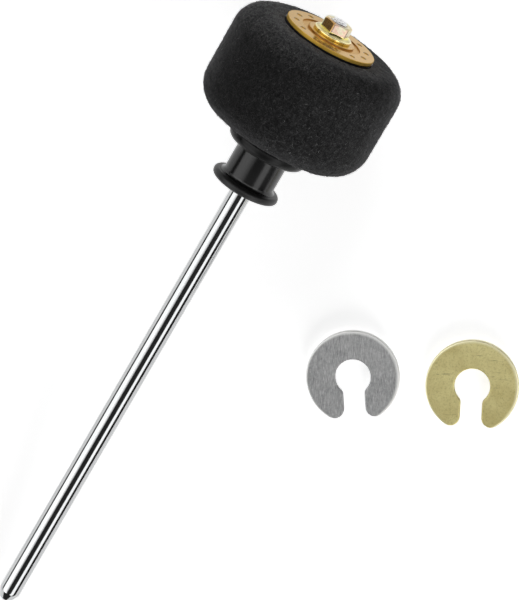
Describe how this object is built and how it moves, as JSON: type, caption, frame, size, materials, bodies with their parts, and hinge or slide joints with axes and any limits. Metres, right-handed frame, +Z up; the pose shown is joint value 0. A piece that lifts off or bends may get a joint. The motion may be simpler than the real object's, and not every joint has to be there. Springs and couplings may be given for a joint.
{
  "type": "bass drum beater",
  "caption": "Coaxial felt bass drum beater on a chromed shaft, lying beside its C-shaped tuning weights, with a nut-held cap disc that lifts to take a weight.",
  "frame": {"origin": "on the table under the whole set, at the middle of its footprint", "axes": "+Z up from the table, +X along the lying beater from its shaft tip to its felt head"},
  "size_m": [0.2493, 0.157, 0.0677],
  "materials": {
    "chromed_steel": "polished",
    "black_moulding": "satin",
    "black_felt": "felt",
    "gilt_brass": "polished",
    "yellow_zinc": "plated",
    "bare_aluminium": "brushed",
    "bare_brass": "tarnished"
  },
  "bodies": {
    "beater": {"shaft": "chromed_steel", "hub": "black_moulding", "felt_head": "black_felt", "weight_seat": "black_moulding"},
    "cap": {"cap_disc": "gilt_brass"},
    "nut": {"flange_nut": "yellow_zinc"},
    "light_weight": {"aluminium_weight": "bare_aluminium"},
    "heavy_weight": {"brass_weight": "bare_brass"}
  },
  "joints": [
    {"name": "cap_lift", "type": "slide", "parent": "beater", "child": "cap", "axis": [0.9907, 0, 0.1364], "range_m": [0, 0.00575]},
    {"name": "nut_turn", "type": "hinge", "parent": "cap", "child": "nut", "pos_m": [0.11822, 0.04582, 0.0368], "axis": [0.9907, 0, 0.1364], "range_deg": [0, 2071]},
    {"name": "light_weight_lift", "type": "slide", "parent": "beater", "child": "light_weight", "axis": [0, 0, 1], "range_m": [0, 0.09]},
    {"name": "heavy_weight_lift", "type": "slide", "parent": "beater", "child": "heavy_weight", "axis": [0, 0, 1], "range_m": [0, 0.09]}
  ],
  "couplings": [
    {"joint": "nut_turn", "follows": "cap_lift", "rad_per_m": 6283.2}
  ]
}
